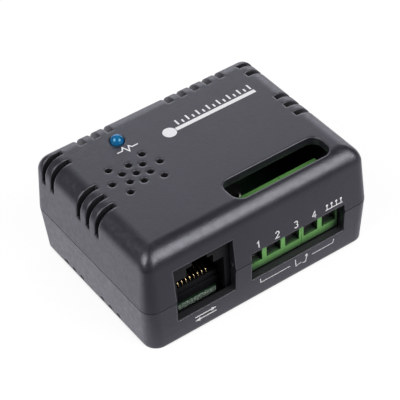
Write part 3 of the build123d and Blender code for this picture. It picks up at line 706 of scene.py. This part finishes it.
def contact_wires():
    """Eight gilded wires: tail, run, rise and a shallow slope to the rear."""
    labels = ["Tail End", "Tail Bend", "Run Bend", "Knee", "Tip"]
    sizes = [(label, "Vector") for label in labels]
    sizes += [("Stagger", "Vector"), ("Start", "Vector"), ("Step", "Vector")]
    sizes += [("Count", "Int"), ("Bend", "Float"), ("Wire Radius", "Float")]
    tree, given = rule_tree("contact_wires", sizes)
    straight = [given[label] for label in labels]
    set_back = [
        vector_maths(tree, "ADD", given[label], given["Stagger"])["Vector"]
        for label in ("Tail End", "Tail Bend")
    ]
    near = bent_wire(tree, straight, given["Bend"], given["Wire Radius"])
    far = bent_wire(tree, set_back + straight[2:], given["Bend"], given["Wire Radius"])
    wires = repeated(tree, [near, far], given["Count"], given["Start"], given["Step"])
    close_tree(tree, wires, MATERIALS["contact_gold"])
    run = BOARD_TOP + WIRE_RUN
    knee = BOARD_TOP + WIRE_KNEE
    tip_y = WIRE_KNEE_Y + WIRE_SLOPE_LENGTH * math.cos(WIRE_SLOPE)
    tip_z = knee + WIRE_SLOPE_LENGTH * math.sin(WIRE_SLOPE)
    data = grown_mesh(tree, {
        "Tail End": (0.0, WIRE_TAIL_Y, WIRE_TAIL_END),
        "Tail Bend": (0.0, WIRE_TAIL_Y, run),
        "Run Bend": (0.0, WIRE_KNEE_Y, run),
        "Knee": (0.0, WIRE_KNEE_Y, knee),
        "Tip": (0.0, tip_y, tip_z),
        "Stagger": (0.0, WIRE_STAGGER, 0.0),
        "Start": (JACK_MIDDLE - (WIRE_COUNT - 1) / 2 * WIRE_PITCH, 0.0, 0.0),
        "Step": (WIRE_PITCH, 0.0, 0.0),
        "Count": WIRE_COUNT,
        "Bend": WIRE_BEND,
        "Wire Radius": WIRE_RADIUS,
    })
    wires = place_piece("contact_wires", data, MATERIALS["contact_gold"])
    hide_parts("jack_contacts")


def scale_ticks():
    """The thermometer's scale: long and short ticks in turn."""
    labels = [("Long", "Vector"), ("Short", "Vector"), ("Start", "Vector"), ("Step", "Vector")]
    tree, given = rule_tree("scale_ticks", [*labels, ("Count", "Int")])
    ticks = []
    for label in ("Long", "Short"):
        bar = node(tree, "GeometryNodeMeshCube", {"Size": given[label]})
        raised = node(tree, "GeometryNodeTransform", {
            "Geometry": bar.outputs["Mesh"],
            "Translation": vector_maths(tree, "MULTIPLY", given[label], (0.0, 0.5, 0.5))["Vector"],
        })
        ticks.append(raised.outputs["Geometry"])
    close_tree(tree, repeated(tree, ticks, given["Count"], given["Start"], given["Step"]), INK)
    data = grown_mesh(tree, {
        "Long": (TICK_WIDTH, TICK_LONG, INK_THICKNESS),
        "Short": (TICK_WIDTH, TICK_SHORT, INK_THICKNESS),
        "Start": on_roof(TICK_FIRST, TICK_FOOT, INK_LIFT),
        "Step": ((TICK_LAST - TICK_FIRST) / (TICK_COUNT - 1) * MM, 0.0, 0.0),
        "Count": TICK_COUNT,
    })
    place_piece("scale_ticks", data, INK)


# Signs


class Sign:
    """Ink laid on a surface: ribbons, discs and arrow heads, all of one thickness."""

    def __init__(self, name, surface):
        self.name = name
        self.surface = surface
        self.mesh = bmesh.new()

    def _raise(self, cells):
        """Closed plates from cells of corner points on the surface."""
        corners = {}
        faces = []
        for cell in cells:
            ring = []
            for across, along in cell:
                key = (round(across, 5), round(along, 5))
                if key not in corners:
                    corners[key] = [
                        self.mesh.verts.new(self.surface(across, along, lift))
                        for lift in (INK_LIFT, INK_LIFT + INK_THICKNESS)
                    ]
                ring.append(corners[key])
            faces.append(ring)
        edges = {}
        for ring in faces:
            self.mesh.faces.new([pair[1] for pair in ring])
            self.mesh.faces.new([pair[0] for pair in reversed(ring)])
            for start, end in zip(ring, ring[1:] + ring[:1]):
                edges[(id(start), id(end))] = (start, end)
        for (first, second), (start, end) in edges.items():
            if (second, first) not in edges:
                self.mesh.faces.new([start[0], end[0], end[1], start[1]])

    def ribbon(self, points, width):
        """A mitred line of one width."""
        points = [Vector(point) for point in points]
        last = len(points) - 1
        rows = []
        for i, here in enumerate(points):
            ahead = (points[min(i + 1, last)] - here).normalized()
            into = (here - points[i - 1]).normalized() if i else ahead
            out = ahead if i < last else into
            side_in = Vector((-into.y, into.x))
            side_out = Vector((-out.y, out.x))
            middle = (side_in + side_out).normalized()
            reach = width / 2 / max(middle.dot(side_in), MITRE_LIMIT)
            rows.append((here - middle * reach, here + middle * reach))
        cells = []
        for (low_a, high_a), (low_b, high_b) in zip(rows, rows[1:]):
            cells.append([tuple(low_a), tuple(low_b), tuple(high_b), tuple(high_a)])
        self._raise(cells)

    def disc(self, x, y, radius, corners):
        """A filled circle."""
        ring = []
        for i in range(corners):
            turn = 2 * math.pi * i / corners
            ring.append((x + radius * math.cos(turn), y + radius * math.sin(turn)))
        self._raise([ring])

    def triangle(self, tip, left, right):
        """An arrow head."""
        self._raise([[tip, left, right]])

    def finish(self):
        """Makes the sign a piece on the case."""
        bmesh.ops.recalc_face_normals(self.mesh, faces=self.mesh.faces)
        data = bpy.data.meshes.new(self.name)
        self.mesh.to_mesh(data)
        self.mesh.free()
        place_piece(self.name, data, INK)


def thermometer_sign():
    """A thermometer lying along the roof."""
    bulb_x = -1.55
    bulb_radius = 1.6
    middle_y = 8.45
    tube_gap = 0.1
    tube_end = 21.5
    tube_width = 1.05
    tube_start = bulb_x + bulb_radius + tube_gap
    sign = Sign("thermometer_sign", on_roof)
    sign.disc(bulb_x, middle_y, bulb_radius, corners=40)
    sign.ribbon([(tube_start, middle_y), (tube_end, middle_y)], tube_width)
    sign.finish()


def pulse_sign():
    """A pulse line by the lamp."""
    left = -14.3
    base = 9.7
    steps = [(0, 0), (1.3, 0), (1.9, 1.0), (2.6, -0.9), (3.3, 0.75), (3.8, 0), (5.3, 0)]
    sign = Sign("lamp_pulse_sign", on_roof)
    sign.ribbon([(left + x, base + y) for x, y in steps], SIGN_BOLD)
    sign.finish()


def arrows_sign():
    """Two opposite arrows under the jack."""
    left = -17.7
    right = -12.2
    upper = 3.65
    lower = 2.55
    head = 1.3
    half = 0.52
    sign = Sign("jack_arrows_sign", on_front)
    sign.ribbon([(left, upper), (right - head, upper)], SIGN_BOLD)
    sign.triangle((right, upper), (right - head, upper + half), (right - head, upper - half))
    sign.ribbon([(left + head, lower), (right, lower)], SIGN_BOLD)
    sign.triangle((left, lower), (left + head, lower - half), (left + head, lower + half))
    sign.finish()


def common_sign():
    """The sign of the common point: a bar that joins four stems."""
    bar_left = 17.05
    bar_right = 21.75
    bar_z = 14.45
    bar_width = 0.22
    stem_count = 4
    stem_first = 17.5
    stem_pitch = 1.27
    stem_foot = 14.56
    stem_top = 15.5
    head_z = 15.62
    head_radius = 0.3
    sign = Sign("common_point_sign", on_front)
    sign.ribbon([(bar_left, bar_z), (bar_right, bar_z)], bar_width)
    for i in range(stem_count):
        x = stem_first + i * stem_pitch
        sign.ribbon([(x, stem_foot), (x, stem_top)], SIGN_LINE)
        sign.disc(x, head_z, head_radius, corners=16)
    sign.finish()


def bracket_sign():
    """The bracket under the terminals, open in the middle for the switch sign."""
    bar = 3.47
    left_arm = [(-0.55, 4.6), (-0.5, bar), (7.5, bar)]
    right_arm = [(13.5, bar), (19.2, bar), (19.5, 4.55)]
    sign = Sign("terminal_bracket_sign", on_front)
    for arm in (left_arm, right_arm):
        sign.ribbon(arm, SIGN_LINE)
    sign.finish()


def switch_sign():
    """A dry-contact switch with its arrow."""
    left_wire = [(8.84, 4.67), (9.13, 2.48), (10.56, 2.81)]
    right_wire = [(10.85, 2.3), (11.78, 2.35), (11.99, 4.04)]
    arrow_head = [(12.04, 4.69), (11.36, 4.12), (12.37, 3.79)]
    sign = Sign("switch_sign", on_front)
    for wire in (left_wire, right_wire):
        sign.ribbon(wire, SIGN_LINE)
    sign.triangle(*arrow_head)
    sign.finish()


def bow(centre, radius, start, end, corners=8):
    """Points of an arc, in degrees from the first to the last."""
    points = []
    for i in range(corners + 1):
        turn = math.radians(start + (end - start) * i / corners)
        points.append((centre[0] + radius * math.cos(turn), centre[1] + radius * math.sin(turn)))
    return points


def terminal_numbers():
    """The numbers 1 to 4 over the terminals, drawn with a pen of one width."""
    low = 14.22
    high = low + 1.7
    one = -0.75
    two = 4.15
    three = 9.12
    four = 14.0
    strokes = [
        [(one - 0.42, low + 1.32), (one, high), (one, low)],
        [*bow((two, low + 1.22), 0.46, 170, -35), (two - 0.5, low), (two + 0.52, low)],
        bow((three, low + 1.24), 0.42, 150, -90),
        bow((three, low + 0.43), 0.46, 90, -150),
        [(four + 0.22, low), (four + 0.22, high), (four - 0.5, low + 0.52)],
        [(four - 0.5, low + 0.5), (four + 0.55, low + 0.5)],
    ]
    sign = Sign("terminal_numbers", on_front)
    for stroke in strokes:
        sign.ribbon(stroke, SIGN_PEN)
    sign.finish()


# Stage, light and camera


def floor_glow(tree):
    """How bright the floor shows in the case: whole beside it, dimmer before its front as a
    painted shadow, and less outside a painted pool of light.
    """
    place = object_place(tree)
    front = CASE_DEPTH / 2
    # Painted shadow before the front, then a painted pool of light.
    toward = vector_maths(tree, "DOT_PRODUCT", place, FLOOR_TOWARD)["Value"]
    before = spread(tree, toward, FLOOR_NEAR, FLOOR_FAR, *FLOOR_BAND)
    start, end = FRONT_BAND
    glow = spread(tree, axes_of(tree, place)["Y"], before, 1.0, -front + start, -front + end)
    reach = vector_maths(tree, "DISTANCE", place, LIGHT_POOL_MIDDLE)["Value"]
    return maths(tree, "MULTIPLY", glow, spread(tree, reach, 1.0, LIGHT_POOL_BEYOND, *LIGHT_POOL_REACH))


def beside_case(tree):
    """Painted shadow: 0 on the floor under the case, which shows dark in the base vents, and 1
    beside it.
    """
    inner, outer = UNDER_BAND
    return spread(tree, base_reach(tree), 0.0, 1.0, CORNER_RADIUS + inner, CORNER_RADIUS + outer)


def floor_white():
    """White to the eye, with a painted contact shadow and a painted shadow under the case; where
    reflected, a glow with painted light and shadow in it; else a plain grey.
    """
    material = bpy.data.materials.new("floor_white")
    material.use_nodes = True
    tree = material.node_tree
    tree.nodes.clear()
    rays = node(tree, "ShaderNodeLightPath").outputs
    gap = node(tree, "ShaderNodeAmbientOcclusion", {"Distance": CONTACT_REACH},
               samples=CONTACT_SAMPLES)
    contact = spread(tree, gap.outputs["AO"], 0.0, FLOOR_WHITE, *CONTACT_BAND)
    # Painted shadow: the white to the eye fades by the contact shadow and is dark under the case.
    white = node(tree, "ShaderNodeEmission", {
        "Strength": maths(tree, "MULTIPLY", contact, beside_case(tree)),
    })
    faint = node(tree, "ShaderNodeBsdfDiffuse", {"Color": grey(FLOOR_FAINT)})
    shown = node(tree, "ShaderNodeAddShader", {0: white.outputs[0], 1: faint.outputs[0]})
    mirrored = node(tree, "ShaderNodeEmission", {
        "Color": opaque(FLOOR_MIRRORED), "Strength": floor_glow(tree),
    })
    lit = node(tree, "ShaderNodeBsdfDiffuse", {"Color": grey(FLOOR_GREY)})
    glossy = mix_shaders(tree, rays["Is Glossy Ray"], lit, mirrored)
    direct = maths(tree, "MAXIMUM", rays["Is Camera Ray"], rays["Is Transmission Ray"])
    choice = mix_shaders(tree, direct, glossy, shown)
    node(tree, "ShaderNodeOutputMaterial", {"Surface": choice.outputs[0]})
    return material


def pale_floor():
    """A plain floor on which the case stands."""
    data = bpy.data.meshes.new("floor")
    half = FLOOR_HALF
    corners = [(-half, -half, 0), (half, -half, 0), (half, half, 0), (-half, half, 0)]
    data.from_pydata(corners, [], [(0, 1, 2, 3)])
    floor = bpy.data.objects.new("floor", data)
    bpy.context.scene.collection.objects.link(floor)
    data.materials.append(floor_white())


def sky_patch(tree, place, direction, inner, outer, strength):
    """Extra light round a direction; inner and outer are cosines."""
    aim = vector_maths(tree, "DOT_PRODUCT", place, Vector(direction).normalized())["Value"]
    fade = node(tree, "ShaderNodeMapRange", interpolation_type="SMOOTHSTEP")
    feed(tree, fade, {
        "Value": aim, "From Min": outer, "From Max": inner, "To Min": 0.0, "To Max": strength,
    })
    return fade.outputs["Result"]


def studio_world():
    """A dim room with a pale wall behind the case, white to the camera."""
    world = bpy.data.worlds.new("studio")
    bpy.context.scene.world = world
    world.use_nodes = True
    tree = world.node_tree
    tree.nodes.clear()
    rays = node(tree, "ShaderNodeLightPath").outputs
    place = node(tree, "ShaderNodeTexCoord").outputs["Generated"]
    patches = [sky_patch(tree, place, *light) for light in ROOM_LIGHT]
    level = patches[0]
    for more in [*patches[1:], ROOM_DARK]:
        level = maths(tree, "ADD", level, more)
    room = node(tree, "ShaderNodeBackground", {"Color": opaque(ROOM_COLOUR), "Strength": level})
    white = node(tree, "ShaderNodeBackground", {"Color": grey(1.0)})
    choice = mix_shaders(tree, rays["Is Camera Ray"], room, white)
    node(tree, "ShaderNodeOutputWorld", {"Surface": choice.outputs[0]})


def soft_lamp(name, direction, distance, width, height, power):
    """A rectangular soft lamp that faces the case."""
    data = bpy.data.lights.new(name, "AREA")
    data.shape = "RECTANGLE"
    data.size = width
    data.size_y = height
    data.energy = power
    lamp = bpy.data.objects.new(name, data)
    bpy.context.scene.collection.objects.link(lamp)
    away = Vector(direction).normalized()
    lamp.location = away * distance
    lamp.rotation_euler = away.to_track_quat("Z", "Y").to_euler()


def soft_lamps():
    """A lamp before the case to the right, and one over its left side."""
    soft_lamp(
        "front_softbox", direction=(0.38, -0.69, 0.62), distance=0.9,
        width=0.62, height=0.68, power=5.9,
    )
    soft_lamp(
        "left_softbox", direction=(-0.744, 0.024, 0.66), distance=0.9,
        width=0.6, height=0.6, power=5.0,
    )


def photo_camera():
    """The camera where the photograph was taken from."""
    data = bpy.data.cameras.new("photo_camera")
    data.lens = CAMERA_LENS
    data.sensor_width = CAMERA_SENSOR
    data.clip_start = CAMERA_CLIP
    camera = bpy.data.objects.new("photo_camera", data)
    bpy.context.scene.collection.objects.link(camera)
    up = CAMERA_BACK.cross(CAMERA_RIGHT)
    turn = Matrix((CAMERA_RIGHT, up, CAMERA_BACK)).transposed()
    camera.matrix_world = Matrix.Translation(CAMERA_PLACE) @ turn.to_4x4()
    bpy.context.scene.camera = camera


dress_nodes()
contact_wires()
thermometer_sign()
scale_ticks()
pulse_sign()
arrows_sign()
common_sign()
bracket_sign()
switch_sign()
terminal_numbers()
pale_floor()
studio_world()
soft_lamps()
photo_camera()

bpy.context.scene.view_settings.view_transform = "Standard"
